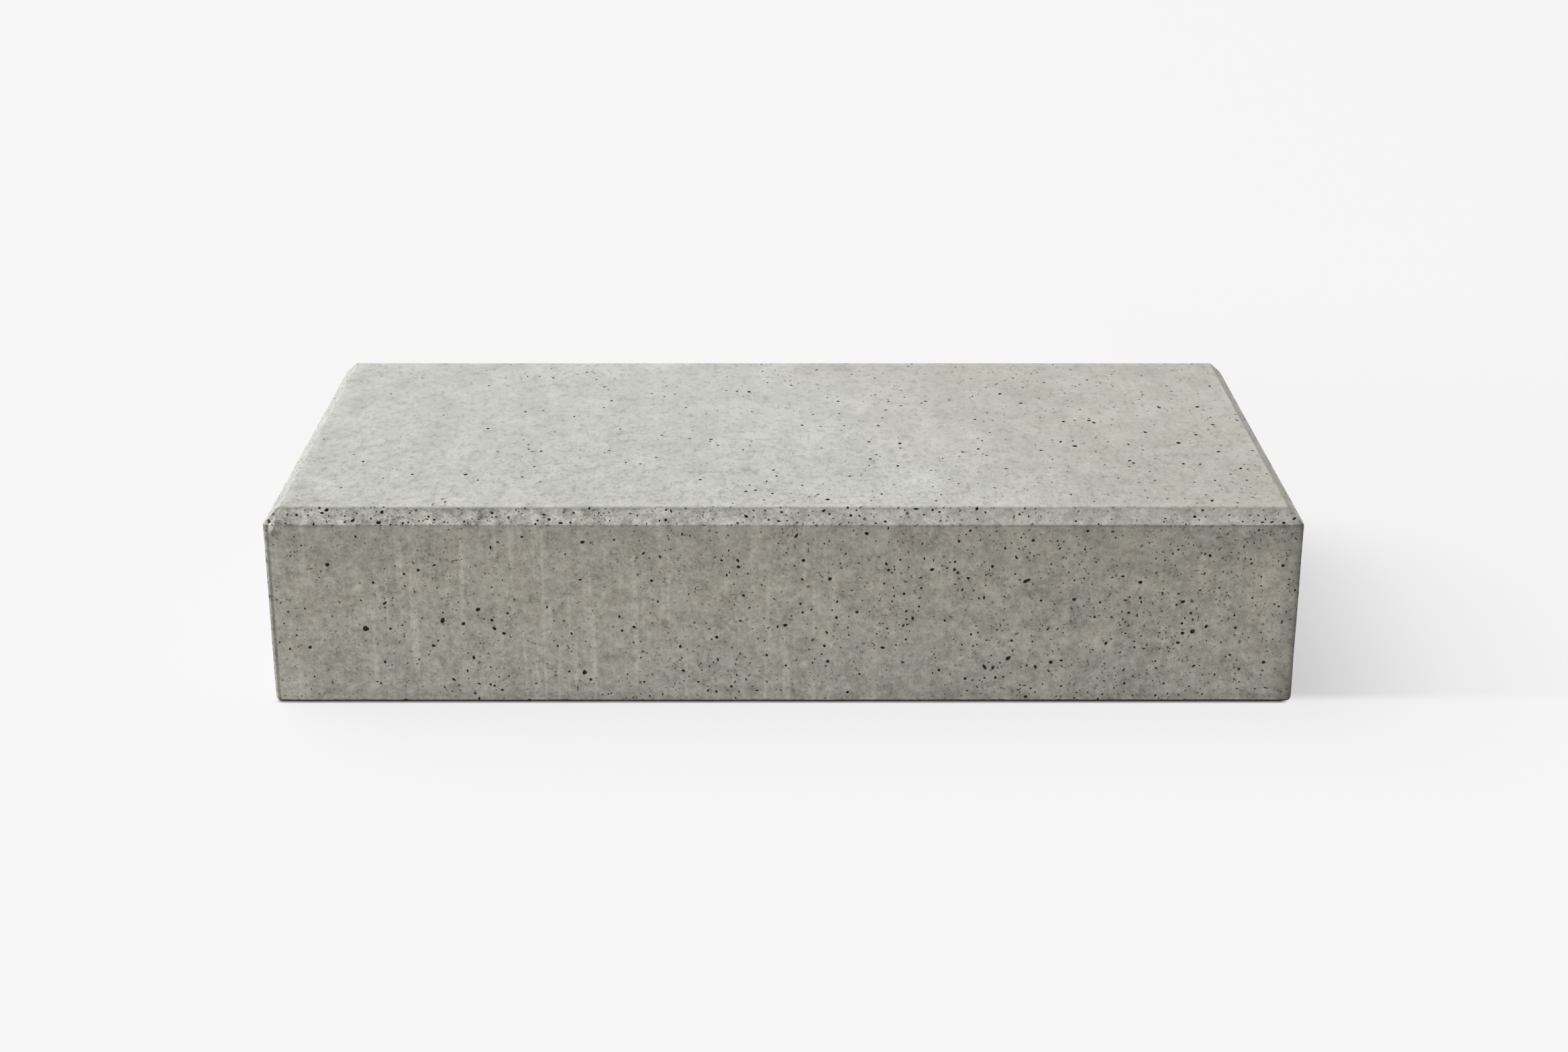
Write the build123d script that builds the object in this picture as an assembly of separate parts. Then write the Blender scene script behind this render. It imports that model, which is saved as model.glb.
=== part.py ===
from build123d import *
import os

# A solid concrete block, cast in one piece in a smooth mould. Sizes in millimetres.
# X runs along its length, Y along its width with the front towards -Y, and Z is up from its base.

# Overall size
block_length = 600.0
block_width = 300.0
block_height = 120.0

# Edges: the bevel round the top face, and the small round that the mould leaves on every other edge
top_bevel = 8.5
edge_round = 2.5


def rounded_cuboid() -> Part:
    """The block before its bevel: upright edges and base edges rounded, top edges still square."""
    cuboid = Box(
        block_length,
        block_width,
        block_height,
        align=(Align.CENTER, Align.CENTER, Align.MIN),
    )
    upright_edges = cuboid.edges().filter_by(Axis.Z)
    base_edges = cuboid.edges().group_by(Axis.Z)[0]
    return fillet(upright_edges + base_edges, edge_round)


def bevel_strip(edge_length: float, edge_distance: float) -> Part:
    """The triangular strip that bevels one top edge, lying along X at edge_distance from the middle.

    Its long face is the bevel. Its other two faces stand clear of the block by one bevel width.
    """
    inner_reach = edge_distance - top_bevel
    outer_reach = edge_distance + top_bevel
    section = make_face(
        Polyline(
            (inner_reach - top_bevel, block_height + top_bevel),
            (outer_reach, block_height + top_bevel),
            (outer_reach, block_height - 2 * top_bevel),
            close=True,
        )
    )
    strip = extrude(Plane.YZ * section, edge_length / 2 + top_bevel, both=True)
    return strip


def bevel_strips() -> list[Part]:
    """Four strips, one for each top edge. They cross at the corners, which mitres the bevels."""
    along_length = bevel_strip(block_length, block_width / 2)
    along_width = bevel_strip(block_width, block_length / 2)
    return [
        along_length,
        Rot(Z=180) * along_length,
        Rot(Z=90) * along_width,
        Rot(Z=-90) * along_width,
    ]


def concrete_block() -> Part:
    """The finished casting: the rounded cuboid with its four top edges bevelled."""
    return rounded_cuboid() - bevel_strips()


os.makedirs("parts", exist_ok=True)

block = concrete_block()
export_step(block, "parts/concrete_block.step")

litres = block.volume / 1e6
print(f"concrete_block: {len(block.solids())} solid, {litres:.3f} litres, box {block.bounding_box().size}")
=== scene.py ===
# %% [markdown]
# # A cast concrete block
#
# The real object is one casting: a flat, heavy block with a bevel round its top face. It was poured
# in a smooth mould, so its faces are nearly flat, and what makes them look like concrete is small:
# air bubbles that were trapped against the mould, hairline creases in the cement skin, crumbled
# edges, and a cloudy, sandy colour.
#
# The size is fixed by the solid that this scene loads, and faces and edges are measured from it.
# Bubbles listed one by one, and most marks in the colour, some of them painted light and shade,
# keep their distance in millimetres from the block's middle and its base.

# %% Load the block as a fixed frame
import itertools
import math
import random

import bmesh
import bpy
from mathutils import Matrix, Vector, noise


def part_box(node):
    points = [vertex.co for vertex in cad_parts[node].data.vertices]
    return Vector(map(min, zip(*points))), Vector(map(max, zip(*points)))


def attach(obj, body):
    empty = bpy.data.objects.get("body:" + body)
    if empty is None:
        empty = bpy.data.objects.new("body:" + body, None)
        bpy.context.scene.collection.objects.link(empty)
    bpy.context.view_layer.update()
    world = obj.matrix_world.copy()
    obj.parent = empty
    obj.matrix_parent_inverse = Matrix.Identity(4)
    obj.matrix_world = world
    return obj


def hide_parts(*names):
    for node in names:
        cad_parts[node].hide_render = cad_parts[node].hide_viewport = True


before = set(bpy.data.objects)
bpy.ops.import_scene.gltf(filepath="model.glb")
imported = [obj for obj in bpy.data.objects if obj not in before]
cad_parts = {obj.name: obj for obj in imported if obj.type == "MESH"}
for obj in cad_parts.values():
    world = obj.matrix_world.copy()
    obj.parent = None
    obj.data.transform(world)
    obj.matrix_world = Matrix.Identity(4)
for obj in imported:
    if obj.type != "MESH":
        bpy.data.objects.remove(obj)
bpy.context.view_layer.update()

mm = 0.001
low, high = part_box("concrete_block")
size = high - low
print("block", [round(side / mm, 2) for side in size], "mm")

# %% Read the bevel and the mould's round from the solid
skin_depth = 0.01 * mm
solid_points = [vertex.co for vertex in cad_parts["concrete_block"].data.vertices]
top_points = [point for point in solid_points if point.z > high.z - skin_depth]
base_points = [point for point in solid_points if point.z < low.z + skin_depth]
bevel = high.x - max(point.x for point in top_points)
edge_round = high.x - max(point.x for point in base_points)
print("bevel", round(bevel / mm, 2), "mm, edge round", round(edge_round / mm, 2), "mm")

# %% [markdown]
# ## The camera
#
# The block is seen straight on from its long side, from a little above, through a normal lens. A
# camera can be placed by eye, but four corners that meet the picture's corners to a pixel need the
# distance and the lens to be right together: here both were worked out from the block's own edges.

# %% The camera
camera_place = Vector((0.0003, -1.4889, 0.6172))
camera_pitch = math.radians(20.71)
camera_lens = 57.13

camera_data = bpy.data.cameras.new("camera")
camera_data.lens = camera_lens
camera_data.sensor_width = 36
camera_data.sensor_fit = "HORIZONTAL"
camera = bpy.data.objects.new("camera", camera_data)
camera.location = camera_place
camera.rotation_euler = (math.radians(90) - camera_pitch, 0, 0)
bpy.context.scene.collection.objects.link(camera)
bpy.context.scene.camera = camera
bpy.context.scene.view_settings.view_transform = "Standard"

# %% [markdown]
# ## A small language for materials
#
# A material is a sum of patterns, and sums are easier to read as arithmetic than as a drawing of
# nodes. Each Value below is one output of a node. Adding or multiplying two of them adds the Math
# node that does it, so the recipe for the concrete reads like a formula. Colours don't go through
# Math nodes, which would turn them grey: they have their own Mix and Vector Math nodes. The sizes of
# patterns are in millimetres.

# %% Values that can be added and multiplied
class Value:
    """A number that varies over the surface: one output socket, with arithmetic."""

    def __init__(self, recipe, socket):
        self.recipe = recipe
        self.socket = socket

    def math(self, operation, *inputs):
        return self.recipe.node("ShaderNodeMath", {"operation": operation}, dict(enumerate(inputs)))

    def __add__(self, other):
        return self.math("ADD", self, other)

    def __sub__(self, other):
        return self.math("SUBTRACT", self, other)

    def __rsub__(self, other):
        return self.math("SUBTRACT", other, self)

    def __mul__(self, other):
        return self.math("MULTIPLY", self, other)

    def __truediv__(self, other):
        return self.math("DIVIDE", self, other)

    def __pow__(self, other):
        return self.math("POWER", self, other)

    __radd__ = __add__

    def size(self):
        """The value without its sign."""
        return self.math("ABSOLUTE", self)

    def at_least(self, other):
        return self.math("MAXIMUM", self, other)

    def at_most(self, other):
        return self.math("MINIMUM", self, other)

    def between(self, start, end):
        """For a share from 0 to 1: the number that lies that far from start to end."""
        return self * (end - start) + start

    def step(self, start, end):
        """0 up to start, 1 from end on, and smooth between them. End may be the smaller one."""
        rising = end > start
        sockets = {
            "Value": self,
            "From Min": min(start, end),
            "From Max": max(start, end),
            "To Min": 0 if rising else 1,
            "To Max": 1 if rising else 0,
        }
        return self.recipe.node("ShaderNodeMapRange", {"interpolation_type": "SMOOTHSTEP"}, sockets)


# %% A recipe: one material or world and its nodes
class Recipe:
    """A material or a world that is written in Python."""

    def __init__(self, name, kind="materials"):
        self.made = getattr(bpy.data, kind).new(name)
        self.made.use_nodes = True
        self.tree = self.made.node_tree
        self.tree.nodes.clear()

    def node(self, kind, settings=None, sockets=None, output=0):
        """Adds a node: settings first, then its sockets' values or links. Returns one output."""
        node = self.tree.nodes.new(kind)
        for name, value in (settings or {}).items():
            setattr(node, name, value)
        for name, value in (sockets or {}).items():
            if isinstance(value, Value):
                self.tree.links.new(value.socket, node.inputs[name])
            else:
                node.inputs[name].default_value = value
        return Value(self, node.outputs[output])

    def place(self):
        """Where a point lies on the block, in metres."""
        return self.node("ShaderNodeTexCoord", output="Object")

    def part(self, vector, axis):
        """One coordinate of a vector."""
        return self.node("ShaderNodeSeparateXYZ", sockets={0: vector}, output=axis)

    def stretched(self, vector, grain, shift=(0, 0, 0)):
        """A place divided by the grain: one number, or one for each axis. A pattern of size 1 then fits."""
        grain = grain if isinstance(grain, tuple) else (grain,) * 3
        scale = tuple(1 / (length * mm) for length in grain)
        moved = {"Vector": vector, "Scale": scale, "Location": shift}
        return self.node("ShaderNodeMapping", {"vector_type": "POINT"}, moved)

    def clouds(self, vector, grain, shift=(0, 0, 0), detail=1, roughness=0.5):
        """Soft noise about 0, mostly between -1 and 1, whose blots are about as large as grain."""
        placed = self.stretched(vector, grain, shift)
        sockets = {"Vector": placed, "Scale": 1, "Detail": detail, "Roughness": roughness}
        return (self.node("ShaderNodeTexNoise", sockets=sockets) - 0.5) * 3

    def drawn_out(self, vector, factor):
        """A place whose depth is divided by the factor, which draws patterns out along Y."""
        across, depth, up = (self.part(vector, axis) for axis in "XYZ")
        sockets = {"X": across, "Y": depth / factor, "Z": up}
        return self.node("ShaderNodeCombineXYZ", sockets=sockets)

    def turned(self, vector, degrees):
        """A place turned about the upright axis, for patterns that run askew."""
        sockets = {"Vector": vector, "Angle": math.radians(degrees)}
        return self.node("ShaderNodeVectorRotate", {"rotation_type": "Z_AXIS"}, sockets)

    def shaken(self, vector, grain, reach):
        """A place moved a little by noise, which makes round spots ragged."""
        noise_sockets = {"Vector": vector, "Scale": 1 / (grain * mm), "Detail": 1}
        shake = self.node("ShaderNodeTexNoise", sockets=noise_sockets, output="Color")
        off_middle = {0: shake, 1: (0.5, 0.5, 0.5)}
        centred = self.node("ShaderNodeVectorMath", {"operation": "SUBTRACT"}, off_middle)
        sockets = {0: centred, 1: (reach * mm,) * 3, 2: vector}
        return self.node("ShaderNodeVectorMath", {"operation": "MULTIPLY_ADD"}, sockets)

    def spots(self, vector, cell, least, most, shift=(0, 0, 0)):
        """Spots with soft edges, 1 inside: one to a cell at most, their radii from least to most."""
        sockets = {"Vector": self.stretched(vector, cell, shift), "Scale": 1}
        distance = self.node("ShaderNodeTexVoronoi", {"feature": "F1"}, sockets, "Distance")
        drawn = Value(self, distance.socket.node.outputs["Color"])
        reach = self.part(drawn, "X").between(least, most) / cell
        return (distance / reach).step(1, 0.5)

    def mixed(self, share, first, second):
        """Two colours, mixed by a share from 0 to 1."""
        sockets = {0: share, 6: first, 7: second}
        return self.node("ShaderNodeMix", {"data_type": "RGBA"}, sockets, output=2)

    def scaled(self, colour, factor):
        """A colour made lighter or darker by a factor."""
        sockets = {0: colour, "Scale": factor}
        return self.node("ShaderNodeVectorMath", {"operation": "SCALE"}, sockets)

    def sight(self):
        """1 for rays that show a surface to the camera, 0 for those that only bring light."""
        rays = self.node("ShaderNodeLightPath").socket.node.outputs
        kinds = ("Camera", "Glossy", "Transmission")
        camera, glossy, glass = (Value(self, rays[f"Is {kind} Ray"]) for kind in kinds)
        return (camera + glossy + glass).at_most(1)

    def either(self, share, first, second):
        """Two shaders, mixed by a share from 0 to 1."""
        return self.node("ShaderNodeMixShader", sockets={0: share, 1: first, 2: second})

    def finish(self, shader, end="ShaderNodeOutputMaterial"):
        """Ends the recipe on its output, and returns the material or world."""
        last = self.tree.nodes.new(end)
        self.tree.links.new(shader.socket, last.inputs["Surface"])
        return self.made


# %% [markdown]
# ## The studio
#
# The photograph was taken on white paper under one large soft light, above and behind the block's
# left end, with pale walls all round. A sun with a very wide disc gives the same light from the same
# side over the whole block. A weak second sun, low on the left, and a pale world that is brighter to
# the left stand for the walls. The front, which faces away from the light, is lit by the paper: that
# is why it is half as bright as the top, and warmer.

# %% The light
# Each sun has the direction that it shines from, its strength, and the width of its disc in degrees.
suns = {
    "soft_key": ((-0.41, 0.25, 0.61), 2.85, 56),
    "left_fill": ((-1.0, -0.25, 0.05), 0.20, 60),
}
for name, (direction, strength, disc) in suns.items():
    data = bpy.data.lights.new(name, "SUN")
    data.energy = strength
    data.angle = math.radians(disc)
    sun = bpy.data.objects.new(name, data)
    sun.rotation_euler = Vector(direction).normalized().to_track_quat("Z", "Y").to_euler()
    bpy.context.scene.collection.objects.link(sun)

# %% White for the camera, and pale walls for the block
wall_light = 0.36
paper_white = (0.935, 0.935, 0.935, 1)

studio = Recipe("studio", "worlds")
rightwards = studio.part(studio.node("ShaderNodeTexCoord", output="Generated"), "X")
wall_sockets = {"Color": (1, 1, 1, 1), "Strength": rightwards * -wall_light + wall_light}
walls_lit = studio.node("ShaderNodeBackground", sockets=wall_sockets)
walls_seen = studio.node("ShaderNodeBackground", sockets={"Color": paper_white})
surroundings = studio.either(studio.sight(), walls_lit, walls_seen)
bpy.context.scene.world = studio.finish(surroundings, "ShaderNodeOutputWorld")

# %% The paper that the block lies on
# The camera sees plain white with a share of the real shadow, largest right of the block. The block
# is lit by a plain glow with a share of the paper's real light. Under the block both shares are 1.
half_paper = 7
paper_bounce = (0.74, 0.725, 0.69, 1)
paper_seen = (0.80, 0.80, 0.80, 1)
bounce_glow = (0.80, 0.785, 0.745, 1)
other_shadow_share, right_shadow_share = 0.15, 0.42
other_bounce_share, right_bounce_share = 0.35, 0.8
contact_reach = 3.5 * mm
right_contact_end = high.x - 0.5 * mm

sheet = Recipe("white_paper")
sheet_x, sheet_y = (sheet.part(sheet.place(), axis) for axis in "XY")
near_block = sheet_y.step(high.y + 700 * mm, high.y + 30 * mm)
near_right = near_block * sheet_x.step(high.x - 40 * mm, high.x + 10 * mm)
far_right = (1 - near_block) * sheet_x.step(-600 * mm, 2600 * mm)
inside_right = sheet_x.step(right_contact_end, right_contact_end - 6 * mm)
inside_left = (sheet_x * -1).step(high.x + contact_reach, high.x)
under_block = inside_right * inside_left * sheet_y.size().step(high.y + contact_reach, high.y)
behind_corner = sheet_y.step(low.y - 2 * mm, low.y + 14 * mm)
fading = sheet_x.step(high.x + 800 * mm, high.x + 250 * mm)
seen_right = near_right * fading * behind_corner + far_right
open_shadow = seen_right.between(other_shadow_share, right_shadow_share)
glow = sheet.node("ShaderNodeEmission", sockets={"Color": paper_white})
shadowed = sheet.node("ShaderNodeBsdfDiffuse", sockets={"Color": paper_seen})
shown = sheet.either(open_shadow.at_least(under_block), glow, shadowed)
open_bounce = (near_right + far_right).between(other_bounce_share, right_bounce_share)
lit_evenly = sheet.node("ShaderNodeEmission", sockets={"Color": bounce_glow})
lit_by_suns = sheet.node("ShaderNodeBsdfDiffuse", sockets={"Color": paper_bounce})
bounce = sheet.either(open_bounce.at_least(under_block), lit_evenly, lit_by_suns)

paper_mesh = bpy.data.meshes.new("paper")
corners = [(x * half_paper, y * half_paper, 0) for x, y in ((-1, -1), (1, -1), (1, 1), (-1, 1))]
paper_mesh.from_pydata(corners, [], [(0, 1, 2, 3)])
paper_mesh.materials.append(sheet.finish(sheet.either(sheet.sight(), bounce, shown)))
paper = bpy.data.objects.new("paper", paper_mesh)
bpy.context.scene.collection.objects.link(paper)

# %% [markdown]
# ## The casting as a formula
#
# The block could be a cube with bevelled edges, but a real casting has no perfect edge: its arrises
# are worn more here and less there, and its faces dip by a tenth of a millimetre. So its surface is
# written as a formula, the distance from a point to the block's skin, and a grid of points is moved
# onto it. Two faces meet through soft_max, which rounds the edge between them.

# %% Distance to the skin
wear_at_corners = 0.55 * mm
top_arris_wear = 0.58 * mm
end_foot_round = 1.5 * mm
lower_arris_wear = 0.28 * mm
dip_depth = 0.16 * mm
foot_height = 4 * mm
knock_roughness = 0.35 * mm
knock_rounding = 0.3 * mm
# Each corner just under the bevel: its side in X and Y, the way that its facet looks, its depth
knocks = [
    (-1, -1, (-0.8, -0.6, 0.5), 1.2 * mm),
    (1, -1, (0.6, -1.0, 0.8), 1.8 * mm),
    (1, 1, (1.0, 1.0, 0.4), 1.8 * mm),
    (-1, 1, (-0.6, 1.0, 0.3), 1.7 * mm),
]


def soft_max(first, second, rounding):
    """The larger of two distances, with the edge between their faces rounded."""
    reach = math.hypot(max(first + rounding, 0), max(second + rounding, 0))
    return min(max(first, second), -rounding) + reach


def uneven(point, blot, seed):
    """Smooth noise from -1 to 1 whose blots are about as large as blot. Each use has its own seed."""
    return noise.noise(Vector(point) / blot + Vector((seed, seed * 1.7, -seed)))


def dip(point):
    """How far the skin lies inside its flat face. None of it reaches the base, which lies flat."""
    broad = 0.5 + 0.5 * uneven(point, 70 * mm, 3.1)
    fine = 0.5 + 0.5 * uneven(point, 24 * mm, 8.4)
    lifted = min(max((point.z - low.z) / foot_height, 0), 1)
    return dip_depth * lifted * (0.6 * broad + 0.4 * fine)


def past_knocks(point):
    """How far a point is past the facets that were knocked off the corners."""
    past = -bevel
    for side_x, side_y, away, depth in knocks:
        corner = Vector((side_x * high.x, side_y * high.y, high.z - bevel))
        past = max(past, Vector(away).normalized().dot(point - corner) + depth)
    return past + knock_roughness * uneven(point, 2.5 * mm, 7.7)


def skin(point):
    """Distance from a point to the block's skin: above 0 outside, below 0 inside."""
    wear = 1 + 0.6 * uneven(point, 22 * mm, 5.5) + 0.6 * uneven(point, 5 * mm, 1.9)
    to_end = max(point.x - high.x, low.x - point.x)
    to_side = max(point.y - high.y, low.y - point.y)
    to_top = point.z - high.z
    to_base = low.z - point.z
    end_bevel = (to_end + to_top + bevel) / math.sqrt(2)
    side_bevel = (to_side + to_top + bevel) / math.sqrt(2)
    walls = soft_max(to_end, to_side, edge_round * (1 + 0.3 * uneven(point, 9 * mm, 4.9)))
    at_end = min(max(1 + to_end / foot_height, 0), 1)
    foot_round = edge_round * (0.85 + 0.3 * uneven(point, 16 * mm, 2.6)) + end_foot_round * at_end
    walls = soft_max(walls, to_base, foot_round)
    bevels = soft_max(end_bevel, side_bevel, wear_at_corners * wear)
    cap = soft_max(bevels, to_top, top_arris_wear * wear)
    body = soft_max(walls, cap, lower_arris_wear * wear)
    return soft_max(body, past_knocks(point), knock_rounding) + dip(point)


# %% A grid of points, closer together near the edges
grid_step = 10 * mm
grid_clearance = 1 * mm
near_edges = [0.45 * mm, 1.0 * mm, 1.7 * mm, 2.6 * mm, 5 * mm]
near_arris = [-1.2 * mm, -0.4 * mm, 0.4 * mm, 1.2 * mm]
touching = 1e-7


def grid_lines(start, end, bevel_at_start=True):
    """Where the cuts go along one axis: even in the middle, and close where faces meet."""
    count = round((end - start) / grid_step)
    lines = [start + (end - start) * k / count for k in range(1, count)]
    clear = bevel + near_arris[-1] + grid_clearance
    lines = [line for line in lines if start + clear < line < end - clear]
    lines += [start + step for step in near_edges] + [end - step for step in near_edges]
    lines += [end - bevel + step for step in near_arris]
    if bevel_at_start:
        lines += [start + bevel + step for step in near_arris]
    return sorted(lines)


def gridded_block():
    """A square-edged block with its bevel, cut into a grid."""
    bm = bmesh.new()
    bmesh.ops.create_cube(bm, size=1)
    for vertex in bm.verts:
        vertex.co = Vector((vertex.co.x * size.x, vertex.co.y * size.y, (vertex.co.z + 0.5) * size.z))
    top_edges = [edge for edge in bm.edges if all(v.co.z > high.z - skin_depth for v in edge.verts)]
    bmesh.ops.bevel(bm, geom=top_edges, offset=bevel, offset_type="OFFSET", segments=1, affect="EDGES")
    cuts = [
        ((1, 0, 0), grid_lines(low.x, high.x)),
        ((0, 1, 0), grid_lines(low.y, high.y)),
        ((0, 0, 1), grid_lines(low.z, high.z, bevel_at_start=False)),
    ]
    for normal, lines in cuts:
        for line in lines:
            everything = bm.verts[:] + bm.edges[:] + bm.faces[:]
            plane = {"plane_co": Vector(normal) * line, "plane_no": normal}
            bmesh.ops.bisect_plane(bm, geom=everything, dist=touching, **plane)
    return bm


# %% Move the grid onto the skin
slope_step = 0.02 * mm
skin_steps = 4
base_rim_share = 0.98
flat_angle = math.radians(0.5)


def onto_skin(point):
    """The point moved straight to the skin, in a few steps."""
    point = point.copy()
    for _ in range(skin_steps):
        distance = skin(point)
        slope = Vector()
        for axis in range(3):
            beside = point.copy()
            beside[axis] += slope_step
            slope[axis] = (skin(beside) - distance) / slope_step
        if slope.length_squared > 0:
            point -= slope * (distance / slope.length_squared)
    return Vector(min(max(value, least), most) for value, least, most in zip(point, low, high))


def on_base(vertex):
    return vertex.co.z < low.z + skin_depth


body_bm = gridded_block()
for vertex in body_bm.verts:
    towards_rim = max(abs(vertex.co.x) / high.x, abs(vertex.co.y) / high.y)
    if vertex.co.z > low.z + skin_depth or towards_rim > base_rim_share:
        vertex.co = onto_skin(vertex.co)
base_vertices = [vertex for vertex in body_bm.verts if on_base(vertex)]
base_edges = [edge for edge in body_bm.edges if all(on_base(vertex) for vertex in edge.verts)]
bmesh.ops.dissolve_limit(body_bm, angle_limit=flat_angle, verts=base_vertices, edges=base_edges)
body_mesh = bpy.data.meshes.new("cast_block")
body_bm.to_mesh(body_mesh)
body_bm.free()
block = bpy.data.objects.new("cast_block", body_mesh)
bpy.context.scene.collection.objects.link(block)
print("skin", len(body_mesh.vertices), "points", len(body_mesh.polygons), "faces")

# %% [markdown]
# ## Air bubbles
#
# When concrete is poured, air is caught against the mould and leaves round pits, most of them about
# a millimetre across and a few near three. Painted dots would look flat from the side, and a bump
# has no real shadow, so each pit is cut into the block: a small closed shape is made for each one,
# and a Boolean takes them all away at once. The Manifold solver is fast enough for thousands. Only
# the smallest pits are left to the colour.

# %% The block's faces as flat panels
class Panel:
    """One flat face to place things on: its middle, two directions along it, and the way out."""

    def __init__(self, name, middle, along, up, width, height):
        self.name = name
        self.width = width
        self.height = height
        along, up = Vector(along).normalized(), Vector(up).normalized()
        self.frame = Matrix((along, up, along.cross(up))).transposed().to_4x4()
        self.frame.translation = Vector(middle)

    def point(self, u, v, depth=0.0):
        return self.frame @ Vector((u, v, -depth))


wall_height = size.z - bevel
wall_middle = wall_height / 2
slant = bevel * math.sqrt(2)
bevel_level = high.z - bevel / 2


def wall_panel(name, x, y):
    """The upright face that looks towards x, y."""
    length = size.x if x == 0 else size.y
    return Panel(name, (x * high.x, y * high.y, wall_middle), (-y, x, 0), (0, 0, 1), length, wall_height)


def bevel_panel(name, x, y):
    """The sloping face above that wall, as long as its own middle line."""
    length = (size.x if x == 0 else size.y) - bevel
    middle = (x * (high.x - bevel / 2), y * (high.y - bevel / 2), bevel_level)
    return Panel(name, middle, (-y, x, 0), (-x, -y, 1), length, slant)


ways_out = {"front": (0, -1), "back": (0, 1), "right": (1, 0), "left": (-1, 0)}
faces = [wall_panel(name, *way) for name, way in ways_out.items()]
faces.append(Panel("top", (0, 0, high.z), (1, 0, 0), (0, 1, 0), size.x - 2 * bevel, size.y - 2 * bevel))
faces.append(Panel("base", (0, 0, low.z), (1, 0, 0), (0, -1, 0), size.x, size.y))
faces += [bevel_panel(f"{name}_bevel", *way) for name, way in ways_out.items()]
panels = {panel.name: panel for panel in faces}

# %% One pit's cutting shape
class Cutter:
    """Closed shapes that a Boolean takes out of the block, gathered in one mesh."""

    def __init__(self):
        self.points = []
        self.faces = []
        self.finishes = []

    def add(self, points, faces, finish):
        start = len(self.points)
        self.points += points
        self.faces += [tuple(start + corner for corner in face) for face in faces]
        self.finishes += [finish] * len(faces)

    def rings(self, rings, tip, finish, lid):
        """Skins a stack of rings of equal count: a lid point above and a tip point below."""
        count = len(rings[0])
        points = [lid] + [point for ring in rings for point in ring] + [tip]
        faces = []
        for k in range(count):
            after = (k + 1) % count
            faces.append((0, 1 + k, 1 + after))
            for level in range(len(rings) - 1):
                upper, lower = 1 + level * count, 1 + (level + 1) * count
                faces.append((upper + k, lower + k, lower + after, upper + after))
            last = 1 + (len(rings) - 1) * count
            faces.append((last + k, len(points) - 1, last + after))
        self.add(points, faces, finish)


tiny_width = 0.88 * mm
large_width = 1.4 * mm
pit_raggedness = 0.16
tip_drift = 0.2


def add_pit(cutter, panel, u, v, width, stretch, turn, depth, finish, rng):
    """A pit of that width across, drawn out by stretch along its own turned axis. Tiny ones are cones."""
    radius = width / 2
    large, tiny = width > large_width, width < tiny_width
    sides = 9 if large else 5 if tiny else 6
    lip = 0.1 * mm + 0.1 * radius
    # Each level of the pit: how high it is over the skin, and its share of the radius
    levels = [(lip, 1 + lip / depth)] if tiny else [(lip, 0.97), (-0.45 * depth, 1.03)]
    if large:
        levels.append((-0.85 * depth, 0.66))
    outline = [1 + rng.uniform(-pit_raggedness, pit_raggedness) for _ in range(sides)]
    sunk = skin(panel.point(u, v))
    rings = []
    for level, share in levels:
        ring = []
        for k in range(sides):
            angle = 2 * math.pi * k / sides
            reach = radius * share * outline[k]
            x = reach * math.cos(angle) * math.sqrt(stretch)
            y = reach * math.sin(angle) / math.sqrt(stretch)
            across = x * math.cos(turn) - y * math.sin(turn)
            upward = x * math.sin(turn) + y * math.cos(turn)
            ring.append(panel.point(u + across, v + upward, sunk - level))
        rings.append(ring)
    drift = tip_drift * radius
    tip_u, tip_v = u + rng.uniform(-drift, drift), v + rng.uniform(-drift, drift)
    cutter.rings(rings, panel.point(tip_u, tip_v, sunk + depth), finish, panel.point(u, v, sunk - lip))


# %% Keep pits apart
class Spread:
    """Remembers where things lie on the panels, so that no two of them overlap."""

    def __init__(self, cell=4 * mm):
        self.cell = cell
        self.cells = {}

    def key(self, point):
        return tuple(int(x // self.cell) for x in point)

    def clear(self, point, reach):
        """True if nothing was placed within reach of the point."""
        beside = itertools.product(*((number - 1, number, number + 1) for number in self.key(point)))
        for key in beside:
            for other, other_reach in self.cells.get(key, ()):
                if (other - point).length < reach + other_reach:
                    return False
        return True

    def keep(self, point, reach):
        self.cells.setdefault(self.key(point), []).append((point, reach))

    def free(self, point, reach):
        """True if the point is clear. Then it is kept."""
        if not self.clear(point, reach):
            return False
        self.keep(point, reach)
        return True


DEEP, SHALLOW, SKIN = "pit_shadow", "pit_shallow", "cast_concrete"
pit_rng = random.Random(2207)
pits = Cutter()
taken = Spread()
least_depth = 0.24 * mm
pit_gap = 0.04 * mm


def place_pit(panel, u, v, width, stretch=1.0, turn=0.0, depth_share=1.0, finish=DEEP):
    """Cuts a pit there, if it is clear of the others. depth_share is its depth in radii."""
    reach_share = 1.6 if width < tiny_width else 1.25
    reach = width / 2 * math.sqrt(stretch) * reach_share + pit_gap
    if not taken.free(panel.point(u, v), reach):
        return False
    depth = max(width / 2 * depth_share, least_depth)
    add_pit(pits, panel, u, v, width, stretch, turn, depth, finish, pit_rng)
    return True
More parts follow.
